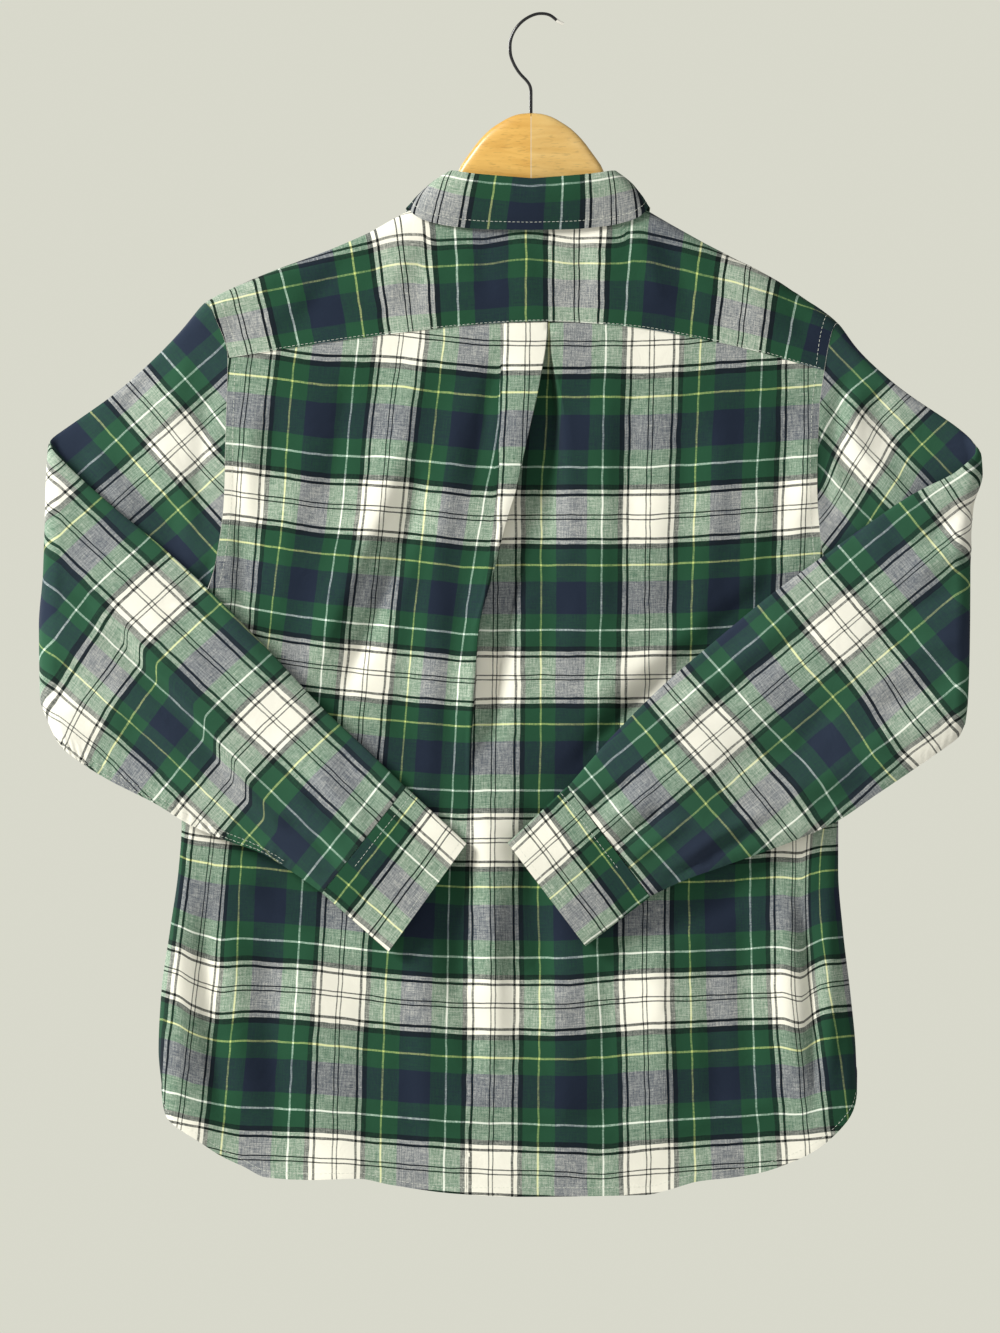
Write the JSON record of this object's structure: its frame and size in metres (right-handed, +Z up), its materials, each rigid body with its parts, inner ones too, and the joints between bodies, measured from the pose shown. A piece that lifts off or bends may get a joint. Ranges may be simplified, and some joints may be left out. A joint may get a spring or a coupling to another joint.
{
  "type": "checked long-sleeved shirt on a wooden hanger",
  "caption": "Checked long-sleeved button shirt hung on a wooden hanger, its sleeves folded across the back below a box pleat.",
  "frame": {"origin": "the point under the crown of the hanger's hook, which a rail or a nail carries", "axes": "+Z up, -Y the way the shirt's back faces, +X to the right for someone who looks at the back"},
  "size_m": [0.7552, 0.0611, 0.948],
  "materials": {
    "cloth": "brushed cotton twill, matte",
    "band": "brushed cotton twill over interlining, matte",
    "button": "pearl",
    "wood": "clear satin varnish on beech",
    "wire": "black lacquered wire"
  },
  "bodies": {
    "root": {"back_body": "cloth", "yoke": "cloth", "front_left": "cloth", "front_right": "cloth", "sleeve_left": "cloth", "sleeve_right": "cloth", "sleeve_placket_left": "cloth", "sleeve_placket_right": "cloth", "front_placket": "band", "collar_stand": "band", "collar_leaf": "band", "cuff_left": "band", "cuff_right": "band", "front_button_1": "button", "front_button_2": "button", "front_button_3": "button", "front_button_4": "button", "front_button_5": "button", "front_button_6": "button", "collar_button": "button", "cuff_button_left": "button", "cuff_button_right": "button", "hanger_left": "wood", "hanger_right": "wood", "hook": "wire"}
  },
  "joints": []
}
